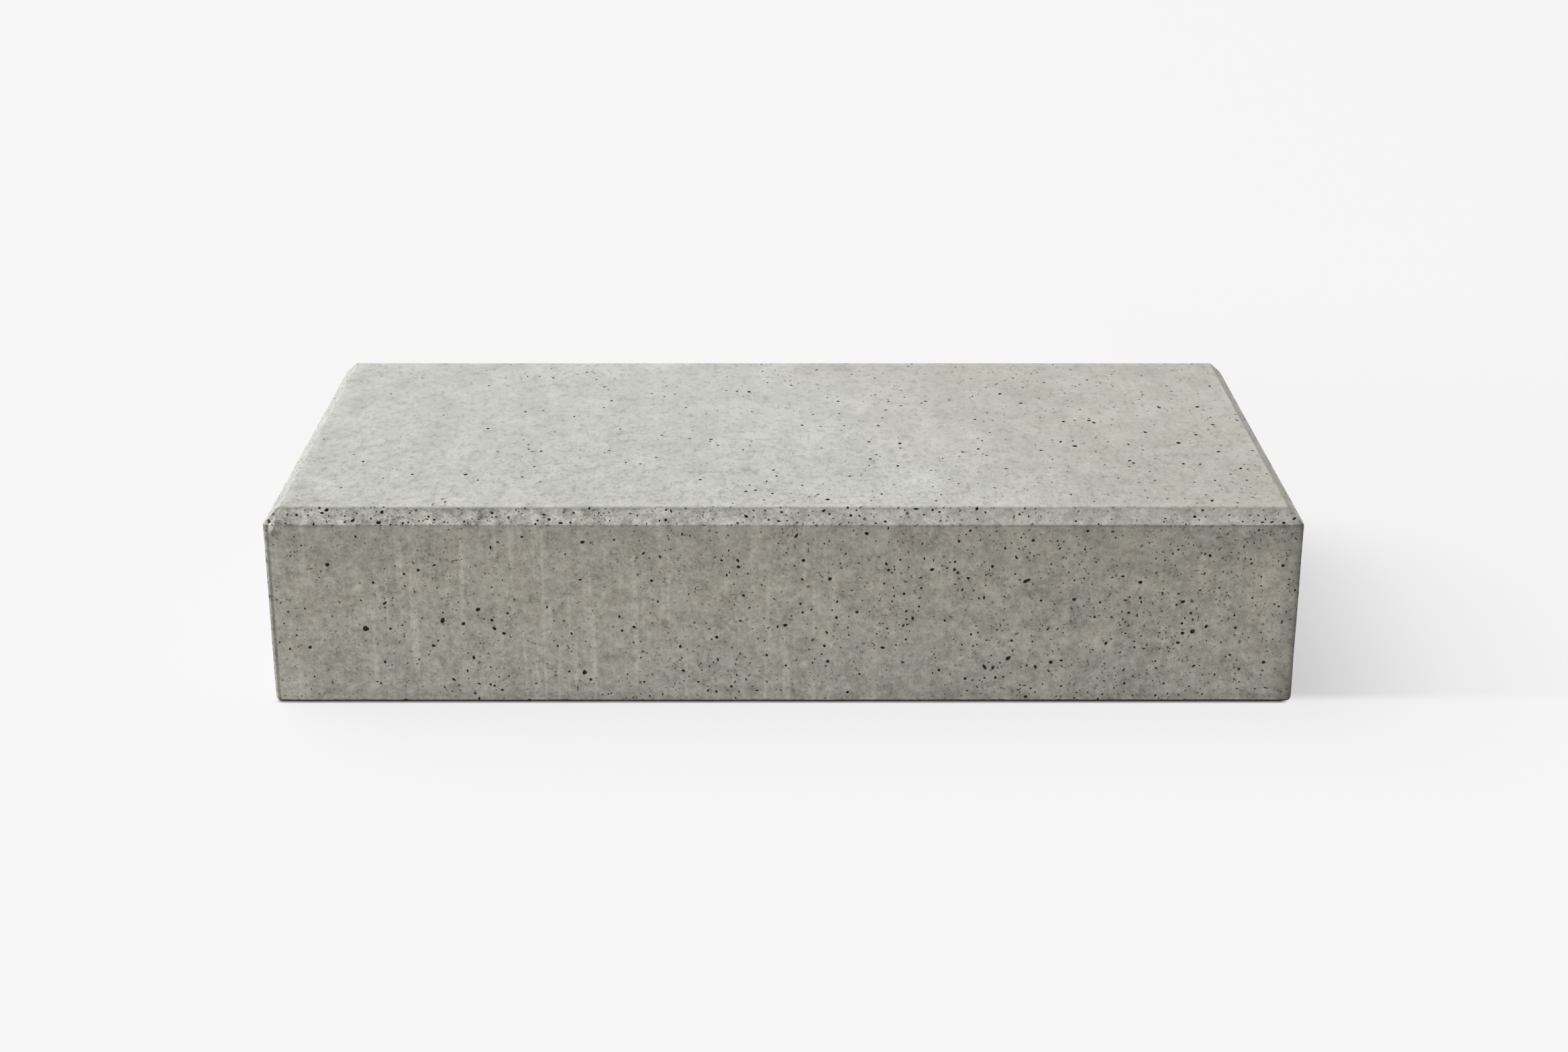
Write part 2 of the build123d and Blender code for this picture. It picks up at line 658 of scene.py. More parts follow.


# %% [markdown]
# ### Bubbles that show
#
# The large bubbles are what the eye finds first, so they are listed one by one, in millimetres:
# along from the block's middle and up from its base, or on the top in depth from its middle. Each has
# its width, how long it is for its width, and how far it is turned.

# %% Large bubbles, one by one
# Each is: along, height or depth, width, how long for its width, turn
front_bubbles = [
    (-264, 87, 1.9, 1.2, 20), (-244, 47, 2.6, 1.1, 0), (-232, 63, 1.6, 2.0, 35),
    (-205, 36, 1.6, 1.2, 0), (-199, 52, 2.4, 1.3, 60), (-187, 50, 1.8, 1.2, 15),
    (-178, 59, 2.0, 1.3, 40), (-169, 47, 1.9, 1.5, 120), (-117, 19, 2.2, 1.2, 90),
    (-116, 101, 1.8, 1.3, 10), (1, 49, 1.8, 1.2, 0), (26, 26, 1.6, 1.1, 0),
    (27, 78, 1.7, 1.3, 45), (86, 84, 1.8, 1.4, 20), (99, 84, 1.5, 1.3, 80),
    (101, 82, 1.4, 1.2, 0), (99.5, 80, 1.3, 1.6, 90), (118, 22.5, 2.0, 2.1, -60),
    (121, 86, 1.5, 1.3, 70), (122.5, 84.5, 1.1, 1.2, 0), (123, 22, 1.6, 1.5, 80),
    (132, 28, 2.2, 1.3, 50), (141, 77, 2.4, 2.3, 25), (144, 102, 1.5, 1.2, 30),
    (157, 25.5, 1.9, 1.1, 0), (148, 22.5, 1.6, 1.4, -70), (207, 76, 1.9, 1.2, 10),
    (231, 38, 1.6, 1.3, 0), (239, 45, 2.2, 1.2, 30), (282, 25.5, 1.7, 1.2, 0),
    (289, 86.5, 1.6, 1.1, 0),
]
bevel_bubbles = [
    (-296, 113, 1.6, 1.4, 60), (-266, 117, 1.8, 1.5, 0), (-262, 115.6, 1.2, 1.2, 70),
    (-252.5, 113, 1.4, 1.8, 60), (-248, 113.6, 2.0, 1.7, 45), (-246, 116.8, 1.3, 1.5, -60),
    (-233, 112.6, 2.6, 1.4, 0), (-219, 112.4, 1.4, 1.5, 70), (-212, 118, 1.3, 1.5, 0),
    (-168, 117, 1.6, 1.3, 0), (-121, 117, 1.4, 1.2, 0), (-1, 117.4, 1.6, 1.3, 0),
    (90, 117.4, 1.5, 1.2, 0), (219, 113, 1.2, 1.4, 60), (237, 115.3, 1.9, 1.1, 0),
    (288, 112.6, 1.8, 1.2, 0),
]
top_bubbles = [
    (-255, -63, 2.2, 1.4, 90), (-222, -86.5, 2.2, 1.4, 90), (-190, -86.5, 2.8, 1.4, 70),
    (-166, 34, 2.0, 1.4, 90), (-22, -116, 2.4, 1.4, 90), (35.5, 56, 2.4, 1.4, 90),
    (60, 6, 2.5, 1.4, 110), (69, -71, 2.5, 1.4, 90), (72, -29, 2.9, 1.4, 90),
    (120, -39.5, 2.5, 1.4, 70), (122, 18.5, 2.2, 1.4, 90), (178, 14, 2.8, 1.4, 90),
    (180, -34, 3.5, 1.4, 100), (197, 12, 2.9, 1.4, 90), (227, -7, 2.9, 1.4, 110),
    (242, -67, 2.5, 1.4, 90), (245, -28, 3.5, 1.4, 90), (252, -68, 2.2, 1.4, 60),
    (272, 8, 2.6, 1.4, 90),
]
deep_share = 1.1


def by_hand(name, bubbles, middle, slope=1.0, rim=1.0, depth_share=deep_share):
    """Cuts the bubbles of a list. Each width is that of the dark part, and the rim is wider by a factor."""
    for along, height, width, stretch, turn in bubbles:
        v = (height * mm - middle) * slope
        turn = math.radians(turn)
        place_pit(panels[name], along * mm, v, width * rim * mm, stretch, turn, depth_share)


by_hand("front", front_bubbles, wall_middle, rim=1.32)
by_hand("front_bevel", bevel_bubbles, bevel_level, slope=math.sqrt(2), rim=1.05)
by_hand("top", top_bubbles, 0, depth_share=0.8)

# %% [markdown]
# ### Bubbles by the thousand
#
# The rest follow the block's own statistics: a little over one to the square centimetre on the
# front, about three on the bevel, and one to every four on the top. Their widths spread like most
# natural sizes do, evenly in ratio about a middle of 1.05 mm. They gather in patches and lie thicker
# to the right, or on the bevel to the left.

# %% Scatter the bubbles
pits_per_cm2 = {"front": 1.35, "wall": 0.95, "bevel": 3.2, "top": 0.26, "base": 0.03}
middle_width = 1.05 * mm
width_spread = 0.33
least_width = 0.78 * mm
most_width = 2.4 * mm
small_width = 1.15 * mm
top_widening = 1.35
middle_stretch = 1.35
stretch_spread = 0.36
most_stretch = 2.2
least_patchy, most_patchy = 0.12, 2.6
tries_for_each = 12
cm = 0.01


def kind_of(panel):
    if panel.name.endswith("bevel"):
        return "bevel"
    return panel.name if panel.name in pits_per_cm2 else "wall"


def patchiness(point):
    """How thickly the bubbles lie here, about 1 on average."""
    broad = uneven(point, 60 * mm, 12.7)
    close = uneven(point, 14 * mm, 31.3)
    on_slant = high.z - bevel < point.z < high.z - skin_depth
    on_flat = point.z >= high.z - skin_depth
    towards_right = (-0.55 if on_slant else 1.0 if on_flat else 0.6) * point.x / high.x
    return min(max(1 + 1.1 * broad + 1.3 * close + towards_right, least_patchy), most_patchy)


def scatter(panel, rng):
    """Spreads bubbles over a panel and returns how many there are."""
    kind = kind_of(panel)
    margin = 0.5 * mm if kind == "bevel" else 1.6 * mm
    wanted = int(panel.width * panel.height / cm**2 * pits_per_cm2[kind])
    made = 0
    for _ in range(wanted * tries_for_each):
        if made >= wanted:
            break
        u = rng.uniform(-1, 1) * (panel.width / 2 - margin)
        v = rng.uniform(-1, 1) * (panel.height / 2 - margin)
        if rng.uniform(0, most_patchy) > patchiness(panel.point(u, v)):
            continue
        width = middle_width * math.exp(width_spread * rng.gauss(0, 1))
        if not least_width < width < most_width:
            continue
        stretch = middle_stretch * math.exp(stretch_spread * rng.gauss(0, 1))
        stretch = min(max(stretch, 1), most_stretch)
        turn = rng.uniform(0, math.pi)
        if kind == "top":
            width *= top_widening
            turn = rng.gauss(math.pi / 2, 0.4)
        shallow_share = 0.35 if kind == "top" else 0.5 if width < small_width else 0.2
        if rng.random() < shallow_share:
            depth_share, finish = rng.uniform(0.4, 0.6), SHALLOW
        else:
            depth_share, finish = rng.uniform(0.9, 1.5), DEEP
        made += place_pit(panel, u, v, width, stretch, turn, depth_share, finish)
    return made


for panel in panels.values():
    print(panel.name, scatter(panel, pit_rng), "bubbles")

# %% [markdown]
# ### Chains and creases
#
# Where the wet cement skin wrinkled against the mould, tiny bubbles line up along a hairline crease.
# Each chain is a short walk that keeps turning: pinhole bubbles sit on it, and in most chains a
# crease follows its first steps.

# %% A crease along a path
crease_lip = 0.12 * mm
crease_end_share = 0.4


def add_crease(cutter, panel, path, half_width, depth, finish, rng):
    """A groove with a V section along a path on a panel, lumpy, and thin at both ends."""
    points = []
    last = len(path) - 1
    for k, (u, v) in enumerate(path):
        forward = (Vector(path[min(k + 1, last)]) - Vector(path[max(k - 1, 0)])).normalized()
        share = crease_end_share if k in (0, last) else rng.uniform(0.65, 1.35)
        side_u, side_v = -forward.y * half_width * share, forward.x * half_width * share
        sunk = skin(panel.point(u, v))
        points.append(panel.point(u + side_u, v + side_v, sunk - crease_lip))
        points.append(panel.point(u - side_u, v - side_v, sunk - crease_lip))
        points.append(panel.point(u, v, sunk + depth * share))
    faces = [(0, 1, 2)]
    for k in range(last):
        here, there = 3 * k, 3 * k + 3
        for first, second in ((0, 1), (1, 2), (2, 0)):
            faces.append((here + first, here + second, there + second, there + first))
    faces.append((3 * last, 3 * last + 2, 3 * last + 1))
    cutter.add(points, faces, finish)


def wander(rng, start, steps, step_length):
    """A walk on a panel that keeps turning and never comes close to itself."""
    bend_spread, bend_back_chance = 0.6, 0.3
    clearance = 1.4 * step_length
    path = [start]
    heading = rng.uniform(0, 2 * math.pi)
    bend = rng.choice((-1, 1)) * rng.uniform(0.05, 0.4)
    for _ in range(steps):
        heading += bend + rng.gauss(0, bend_spread)
        if rng.random() < bend_back_chance:
            bend = -bend
        stride = step_length * rng.uniform(0.8, 1.2)
        u = path[-1][0] + stride * math.cos(heading)
        v = path[-1][1] + stride * math.sin(heading)
        if any(math.hypot(u - x, v - y) < clearance for x, y in path[:-1]):
            break
        path.append((u, v))
    return path


# %% Chains of pinholes on creases
chains_per_cm2 = {"front": 0.13, "wall": 0.10, "bevel": 0.14, "top": 0.012, "base": 0.0}
tries_for_chain = 14
crease_reach = 0.6 * mm
side_margin, end_margin = 3 * mm, 1.2 * mm
least_path = 3
pinhole_width, most_pinhole = 0.84 * mm, 1.1 * mm
crease_chance, pinhole_chance, shallow_chance = 0.6, 0.62, 0.6
creases = Cutter()
creased = Spread()
chain_rng = random.Random(907)


def crease_fits(panel, path):
    """True if a path is long enough, stays on its panel and is clear of other creases."""
    if len(path) < least_path:
        return False
    for u, v in path:
        if abs(u) > panel.width / 2 - side_margin or abs(v) > panel.height / 2 - end_margin:
            return False
        if not creased.clear(panel.point(u, v), crease_reach):
            return False
    return True


def place_crease(panel, path, half_width, depth):
    if crease_fits(panel, path):
        for u, v in path:
            creased.keep(panel.point(u, v), crease_reach)
        add_crease(creases, panel, path, half_width, depth, SHALLOW, chain_rng)


def chain(panel, rng):
    """Pinholes in a wandering line, somewhere on the panel, and in most of them a short crease."""
    start = (rng.uniform(-0.5, 0.5) * panel.width, rng.uniform(-0.5, 0.5) * panel.height)
    if rng.uniform(0, most_patchy) > patchiness(panel.point(*start)):
        return False
    path = wander(rng, start, rng.randint(3, 9), rng.uniform(0.85, 1.2) * mm)
    if not crease_fits(panel, path):
        return False
    if rng.random() < crease_chance:
        half_width = rng.uniform(0.5, 0.75) * mm
        place_crease(panel, path[:least_path], half_width, rng.uniform(0.22, 0.34) * mm)
    for (u, v), (after_u, after_v) in zip(path, path[1:] + path[-1:]):
        if rng.random() < pinhole_chance:
            width = pinhole_width * math.exp(0.2 * rng.gauss(0, 1))
            width = min(max(width, least_width), most_pinhole)
            turn = math.atan2(after_v - v, after_u - u)
            finish = SHALLOW if rng.random() < shallow_chance else DEEP
            place_pit(panel, u, v, width, rng.uniform(1, 1.9), turn, deep_share, finish)
    return True


# One crease is a curl that shows at the front's upper right, in millimetres
curl = [(249.4, 102.9), (250.6, 104.0), (252.4, 104.3), (254.0, 103.5)]
curl_path = [(along * mm, height * mm - wall_middle) for along, height in curl]
place_crease(panels["front"], curl_path, 0.6 * mm, 0.4 * mm)
for panel in panels.values():
    wanted = int(panel.width * panel.height / cm**2 * chains_per_cm2[kind_of(panel)])
    made = 0
    for _ in range(wanted * tries_for_chain):
        if made < wanted:
            made += chain(panel, chain_rng)
    print(panel.name, made, "chains")

# %% Clusters: many pinholes close together
# On the front: along, height, radius
front_clusters = [(108, 80, 5), (-262, 34, 3.5), (-232, 24, 4), (170, 14, 4), (222, 46, 3)]
cluster_spacing = 110 * mm
cluster_density = 2.4
cluster_rng = random.Random(411)


def cluster(panel, u, v, radius, rng):
    """Crowds small pits round a place, thickest in the middle."""
    for _ in range(int(cluster_density * (radius / mm) ** 1.5)):
        away = radius * abs(rng.gauss(0, 0.5))
        angle = rng.uniform(0, 2 * math.pi)
        width = rng.uniform(0.6, 1.0) * mm
        pit_u, pit_v = u + away * math.cos(angle), v + away * math.sin(angle)
        stretch, turn = rng.uniform(1, 1.9), rng.uniform(0, math.pi)
        depth_share = rng.uniform(0.6, 1.2)
        place_pit(panel, pit_u, pit_v, width, stretch, turn, depth_share, rng.choice((DEEP, SHALLOW)))


for along, height, radius in front_clusters:
    cluster(panels["front"], along * mm, height * mm - wall_middle, radius * mm, cluster_rng)
for name in ("back", "left", "right"):
    panel = panels[name]
    for _ in range(int(panel.width / cluster_spacing)):
        u = cluster_rng.uniform(-0.45, 0.45) * panel.width
        v = cluster_rng.uniform(-0.4, 0.4) * panel.height
        cluster(panel, u, v, cluster_rng.uniform(2.5, 5) * mm, cluster_rng)
print(len(pits.finishes), "faces on the pit shapes")

# %% [markdown]
# ## Crumbled edges
#
# A concrete edge never comes out of the mould whole: grains of sand pull away from it. Small lopsided
# crumbs are taken out along every edge, closest together on the mitres and the upright edges and
# further apart along the base, where a few larger ones show as nicks in the dark line that the block
# makes on the paper.

# %% One crumb
crumb_lean = 0.2


def add_crumb(cutter, middle, along, away, length, breadth, finish, rng):
    """A small shape with eight faces, longer along the edge that it breaks."""
    beside = along.cross(away)
    points = []
    for direction, reach in ((along, length), (away, breadth), (beside, breadth)):
        for sign in (1, -1):
            shift = Vector([rng.uniform(-crumb_lean, crumb_lean) * breadth for _ in range(3)])
            points.append(middle + direction * (sign * reach * rng.uniform(0.75, 1.25)) + shift)
    faces = [(0, 2, 4), (2, 1, 4), (1, 3, 4), (3, 0, 4), (2, 0, 5), (1, 2, 5), (3, 1, 5), (0, 3, 5)]
    cutter.add(points, faces, finish)


# %% Every edge of the block: its ends and the way out
corner_inset = edge_round * (1 - math.sqrt(0.5))
level = high.z - bevel
base_level = low.z + corner_inset
top_x, top_y = high.x - bevel, high.y - bevel
inset_x, inset_y = high.x - corner_inset, high.y - corner_inset
block_edges = []
for side in (-1, 1):
    end_x, side_y = side * high.x, side * high.y
    upper_x, upper_y = side * top_x, side * top_y
    base_x, base_y = side * inset_x, side * inset_y
    out_x, out_y = Vector((side, 0, 0)), Vector((0, side, 0))
    slope_x, slope_y = Vector((side, 0, 1)), Vector((0, side, 1))
    block_edges += [
        ("lower_arris", (low.x, side_y, level), (high.x, side_y, level), out_y + slope_y / 2),
        ("end_arris", (end_x, low.y, level), (end_x, high.y, level), out_x + slope_x / 2),
        ("upper_arris", (-top_x, upper_y, high.z), (top_x, upper_y, high.z), out_y + 2.4 * slope_y),
        ("upper_arris", (upper_x, -top_y, high.z), (upper_x, top_y, high.z), out_x + 2.4 * slope_x),
        ("base", (low.x, base_y, base_level), (high.x, base_y, base_level), (0, side, -1)),
        ("base", (base_x, low.y, base_level), (base_x, high.y, base_level), (side, 0, -1)),
    ]
    for end in (-1, 1):
        foot, head = (end * inset_x, base_y, low.z), (end * inset_x, base_y, level)
        outer, inner = (end * high.x, side_y, level), (end * top_x, upper_y, high.z)
        block_edges.append(("upright", foot, head, (end, side, 0)))
        block_edges.append(("mitre", outer, inner, (end, side, 2)))

# %% Crumbs along the edges
# For each kind of edge: how far apart the crumbs lie, and how broad they are, in millimetres
crumb_sizes = {
    "lower_arris": (2.6, 0.52),
    "end_arris": (4, 0.35),
    "upper_arris": (6, 0.34),
    "base": (6, 0.85),
    "upright": (2.4, 0.62),
    "mitre": (1.2, 0.62),
}
most_breadth = 1.6 * mm
breadth_spread = 0.42
crumb_gap_share = 1.35
shallow_crumb_chance = 0.35
# Along the front's base: where each nick is, and how broad
base_nicks = [(-223, 2.1), (-150, 1.7), (-128, 1.5), (-95, 1.1), (-42, 1.4)]
base_nicks += [(35, 1.3), (163, 1.5), (174, 1.7)]
crumbs = Cutter()
crumbled = Spread()
crumb_rng = random.Random(6013)


def place_crumb(point, along, away, breadth, rng, finish):
    length = breadth * rng.uniform(1.1, 2.2)
    if crumbled.free(point, length * crumb_gap_share):
        add_crumb(crumbs, point, along, away, length, breadth, finish, rng)


corner_pit = onto_skin(Vector((low.x + 3.5 * mm, low.y + 2.5 * mm, level + 2 * mm)))
place_crumb(corner_pit, Vector((0, 0, 1)), Vector((-1, -1, 0)).normalized(), 0.8 * mm, crumb_rng, DEEP)
front_base = Vector((0, low.y + corner_inset, low.z + corner_inset))
outwards = Vector((0, -1, -1)).normalized()
for along, breadth in base_nicks:
    middle = front_base + Vector((along * mm, -0.3 * mm, -0.2 * mm))
    place_crumb(middle, Vector((1, 0, 0)), outwards, breadth * mm, crumb_rng, DEEP)
for kind, start, end, away in block_edges:
    start, end, away = Vector(start), Vector(end), Vector(away).normalized()
    along = (end - start).normalized()
    edge_length = (end - start).length
    spacing, middle_breadth = crumb_sizes[kind]
    for _ in range(int(edge_length / (spacing * mm))):
        where = start + along * crumb_rng.uniform(1 * mm, edge_length - 1 * mm)
        if crumb_rng.uniform(0, 2) > 1 + 1.6 * uneven(where, 17 * mm, 44.2):
            continue
        breadth = middle_breadth * mm * math.exp(breadth_spread * crumb_rng.gauss(0, 1))
        breadth = min(breadth, most_breadth)
        beside = along.cross(away) * crumb_rng.uniform(-0.3, 0.3) * mm
        finish = SHALLOW if crumb_rng.random() < shallow_crumb_chance else SKIN
        place_crumb(onto_skin(where + beside), along, away, breadth, crumb_rng, finish)
print(len(crumbs.finishes) // 8, "crumbs")

# %% [markdown]
# ## Taking it all out
#
# Each shape keeps its own finish after the cut, because the Boolean passes the cutter's materials on.
# That way the pits can be dark inside, where dust and shadow gather. The shapes of one cut must not
# overlap, so pits, creases and crumbs are three cuts.

# %% Cut with a Boolean
finishes = [SKIN, DEEP, SHALLOW]
materials = {name: bpy.data.materials.new(name) for name in finishes}
body_mesh.materials.append(materials[SKIN])


def cutter_object(name, cutter):
    """The gathered cutting shapes as an object, each face with its finish and turned outwards."""
    mesh = bpy.data.meshes.new(name)
    mesh.from_pydata([tuple(point) for point in cutter.points], [], cutter.faces)
    for finish in finishes:
        mesh.materials.append(materials[finish])
    mesh.polygons.foreach_set("material_index", [finishes.index(finish) for finish in cutter.finishes])
    bm = bmesh.new()
    bm.from_mesh(mesh)
    bmesh.ops.recalc_face_normals(bm, faces=bm.faces)
    bm.to_mesh(mesh)
    bm.free()
    tool = bpy.data.objects.new(name, mesh)
    bpy.context.scene.collection.objects.link(tool)
    return tool


def cut(piece, tool):
    """Takes the tool's shapes out of the piece, applies the cut and deletes the tool."""
    boolean = piece.modifiers.new("cut", "BOOLEAN")
    boolean.operation = "DIFFERENCE"
    boolean.solver = "MANIFOLD"
    boolean.material_mode = "TRANSFER"
    boolean.object = tool
    evaluated = piece.evaluated_get(bpy.context.evaluated_depsgraph_get())
    result = bpy.data.meshes.new_from_object(evaluated)
    piece.modifiers.clear()
    piece.data = result
    bpy.data.objects.remove(tool)
    result.calc_loop_triangles()
    print("after the cut:", len(result.loop_triangles), "triangles")


cut(block, cutter_object("pit_cutter", pits))
cut(block, cutter_object("crease_cutter", creases))
cut(block, cutter_object("crumb_cutter", crumbs))

# %% Put the piece in the frame
sharp_angle = math.radians(32)
block.data.polygons.foreach_set("use_smooth", [True] * len(block.data.polygons))
block.data.set_sharp_from_angle(angle=sharp_angle)
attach(block, "root")
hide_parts("concrete_block")

# %% [markdown]
# ## A flat map for the faces
#
# An exported model carries its colours in a picture, so each face needs its place on one. A block
# unfolds by itself: every face is laid flat in its own tile, seen square on, with the bevels on the
# top's tile. The pits fall where their openings are.

# %% Lay the faces out in tiles
tile_gap = 4 * mm
map_width = size.x + 2 * tile_gap
map_height = 2 * size.y + 3 * size.z + 6 * tile_gap


def tiles():
    """For each way a face can look: the axes that run along the tile, their signs and its corner."""
    row = tile_gap
    made = {}
    for name, across, up, height in (
        ("top", (0, 1), (1, 1), size.y),
        ("base", (0, 1), (1, -1), size.y),
        ("front", (0, 1), (2, 1), size.z),
        ("back", (0, -1), (2, 1), size.z),
    ):
        made[name] = (across, up, (tile_gap, row))
        row += height + tile_gap
    made["right"] = ((1, 1), (2, 1), (tile_gap, row))
    made["left"] = ((1, -1), (2, 1), (tile_gap + size.y + tile_gap, row))
    return made


def tile_of(normal):
    """The tile of a face, by the way it looks."""
    if normal.z > 0.5:
        return "top"
    if normal.z < -0.72:
        return "base"
    if abs(normal.y) >= abs(normal.x):
        return "back" if normal.y > 0 else "front"
    return "right" if normal.x > 0 else "left"


def lay_out(mesh):
    """Writes the map: each corner's place on its face's tile, as a share of the whole map."""
    layer = mesh.uv_layers.get("OFBake") or mesh.uv_layers.new(name="OFBake")
    layout = tiles()
    for face in mesh.polygons:
        (across, across_sign), (up, up_sign), (left, bottom) = layout[tile_of(face.normal)]
        for loop in face.loop_indices:
            point = mesh.vertices[mesh.loops[loop].vertex_index].co
            u = point[across] - low[across] if across_sign > 0 else high[across] - point[across]
            v = point[up] - low[up] if up_sign > 0 else high[up] - point[up]
            layer.data[loop].uv = ((left + u) / map_width, (bottom + v) / map_height)


lay_out(block.data)
print("map", round(map_width / mm), "by", round(map_height / mm), "mm")

# %% [markdown]
# ## The concrete
#
# Cement skin is not one grey. It is cooler where it was wetter and warmer where it was drier, cloudy
# at the size of a hand and of a finger, and sandy close up. All of it is noise at several sizes,
# added as shares of the colour: tone is 1 where the colour is as written, and less where it is
# darker.

# %% Where things are on the block
concrete = Recipe("cast_concrete_look")
place = concrete.place()
across, along_depth, up = (concrete.part(place, axis) for axis in "XYZ")
leftwards = across * -1
on_top = up.step(high.z - 1.0 * mm, high.z - 0.5 * mm)
off_top = 1 - on_top
above_arris = up.step(level - 0.3 * mm, level + 0.3 * mm)
on_wall = 1 - above_arris
on_bevel = above_arris * off_top
past_top = (across.size() - top_x).at_least(along_depth.size() - top_y)
towards_end = (across.size() - high.x) - (along_depth.size() - high.y)
end_side = towards_end.step(-0.6 * mm, 0.6 * mm) * off_top
to_left = leftwards.step(0, 10 * mm)
to_right = across.step(0, 200 * mm)
near_front = along_depth.step(60 * mm, -110 * mm)
front_left = to_left * along_depth.step(-120 * mm, -140 * mm)
left_side = end_side * to_left
right_bevel_painted_light = end_side * (1 - to_left) * on_bevel
mitre = towards_end.size().step(1.3 * mm, 0.3 * mm) * on_bevel

# %% Cloudy at every size
# There are blots of 110, 30 and 21 mm, and sand from 5 mm down to half a millimetre. Blots on the
# top are drawn out in depth, as the trowel left them.
worked = concrete.drawn_out(place, on_top * 0.8 + 1)
clouding = concrete.clouds(worked, 21, roughness=1)
sanding = concrete.clouds(worked, 5.2, (6, 6, 2), detail=3, roughness=0.85)
broad = concrete.clouds(place, 110)
sand = concrete.clouds(place, 1.1, (3, 1, 4))
patches = concrete.clouds(place, 13, (2, 7, 7))
stains = concrete.clouds(place, 30, (7, 3, 5), detail=1.5, roughness=0.6)
calm_bevel = (1 - across.step(-190 * mm, 130 * mm) * 0.42) * (1 - left_side * 0.7)
cloud_share = on_wall * to_right.between(0.14, 0.18) + on_top * 0.12 + on_bevel * calm_bevel * 0.29
sand_share = on_wall * 0.46 + on_top * near_front.between(0.08, 0.15) + on_bevel * calm_bevel * 0.88
stain_share = to_right * on_wall * 0.18 + 0.02
fine_sand_share = on_bevel * 0.06 + on_wall * 0.035 + 0.01
cloudiness = clouding * cloud_share + sanding * sand_share + sand * fine_sand_share
cloudiness = cloudiness + broad * 0.035 + stains * stain_share

# %% Specks, pinholes, dots and smears
specks = concrete.spots(concrete.shaken(place, 1.1, 2.4), 2.6, 0.35, 1.2) * patches.step(-0.4, 0.5)
pinholes = concrete.spots(place, 2.3, 0.3, 0.62, (5, 2, 9))
dots = concrete.spots(concrete.shaken(place, 0.9, 0.9), 3.3, 0.3, 1.0, (9, 4, 2))
dots = dots * patches.step(-0.7, 0.4).between(0.3, 1)
smears = concrete.spots(concrete.shaken(place, 2.4, 6.5), 7, 1, 2.6, (3, 6, 1)) * on_top
speck_share = 0.24 - on_top * 0.10
pinhole_share = on_wall * 0.10 + 0.24 - on_top * 0.12
dot_share = on_wall * to_right.between(0.52, 0.66) + on_bevel * calm_bevel * 0.45
dot_share = dot_share + on_top * near_front.between(0.16, 0.40)

# %% Streaks that run down the walls
streaks = concrete.clouds(place, (4.5, 4.5, 85), (3, 1, 2), detail=1.5, roughness=0.6)
streaked_part = leftwards.step(-170 * mm, 60 * mm).between(0.25, 1)
streaking = streaks.step(0.1, 0.65) * streaked_part * on_wall * 0.20

# %% Soft ripples across the top, askew: partly their own tone, partly painted shading of low ripples
ripples = concrete.clouds(concrete.turned(place, -50), (34, 9, 30), (1, 2, 3)) * on_top
rippling = ripples * leftwards.step(0, 260 * mm).between(0.02, 0.055)

# %% Wisps and curls: thin bent lines where a noise crosses zero
wisp_field = concrete.clouds(place, (13, 11, 13), (4, 4, 4), detail=2.5).size()
wisps = wisp_field.step(0.17, 0) * patches.step(0.5, -0.5)
curl_field = concrete.clouds(place, 5.2, (8, 4, 1), detail=1.6, roughness=0.55).size()
curl_patches = concrete.clouds(place, 9, (4, 8, 6), detail=0).step(0, 0.7)
curls = curl_field.step(0.24, 0) * curl_patches * off_top

# %% Short strokes and grit across the top
stroke_field = concrete.clouds(place, (9, 14, 9), (2, 5, 3), detail=1.8, roughness=0.65).size()
stroke_patches = concrete.clouds(place, 8, (9, 2, 4), detail=0.5)
strokes = stroke_field.step(0.27, 0) * stroke_patches.step(0, 0.45) * on_top
grit = concrete.clouds(place, (4.8, 9.5, 4.8), (7, 1, 6), roughness=0.9).step(-0.1, 0.9) * on_top
fine_grit = concrete.clouds(place, (1.6, 2.8, 1.6), (4, 9, 7)).step(0, 0.8) * on_top
stroke_share = near_front.between(0.10, 0.14) * (1 - across.step(40 * mm, 170 * mm) * 0.7)
grit_share = near_front.between(0.20, 0.23)
fine_share = near_front.between(0.02, 0.14)

# %% Lines along the edges
ragged_noise = concrete.clouds(place, 2.5, (6, 2, 6), detail=1.5)
ragged = ragged_noise * (0.5 * mm)
ragged_up = up + ragged
# Painted shade: a dark line just under the lower arris, where the bevel's lip would cast a thin shadow.
shade_under_lower_arris = ragged_up.step(level - 2.2 * mm, level - 0.4 * mm) * on_wall
under_upper = ragged_up.step(high.z - 2.6 * mm, high.z - 0.8 * mm) * on_bevel * (1 - end_side)
shade_under_lower_share = across.step(-50 * mm, 220 * mm).between(0.11, 0.25)
under_upper_share = to_right.between(0.20, 0.12)
shaded_high = up.step(level - 40 * mm, level) * on_wall
bevel_low = on_bevel * up.step(high.z - 3 * mm, level)
pale_rim = on_top * past_top.step(-6 * mm, -1.5 * mm)
# A ragged darker band a few millimetres above the base: partly a stain, partly painted shade near the
# paper.
low_stain_and_shade = (up + ragged * 1.6).step(6.5 * mm, 5 * mm) * ragged_up.step(1.8 * mm, 3 * mm)
low_stain_and_shade = low_stain_and_shade * broad.step(-0.6, 0.3)
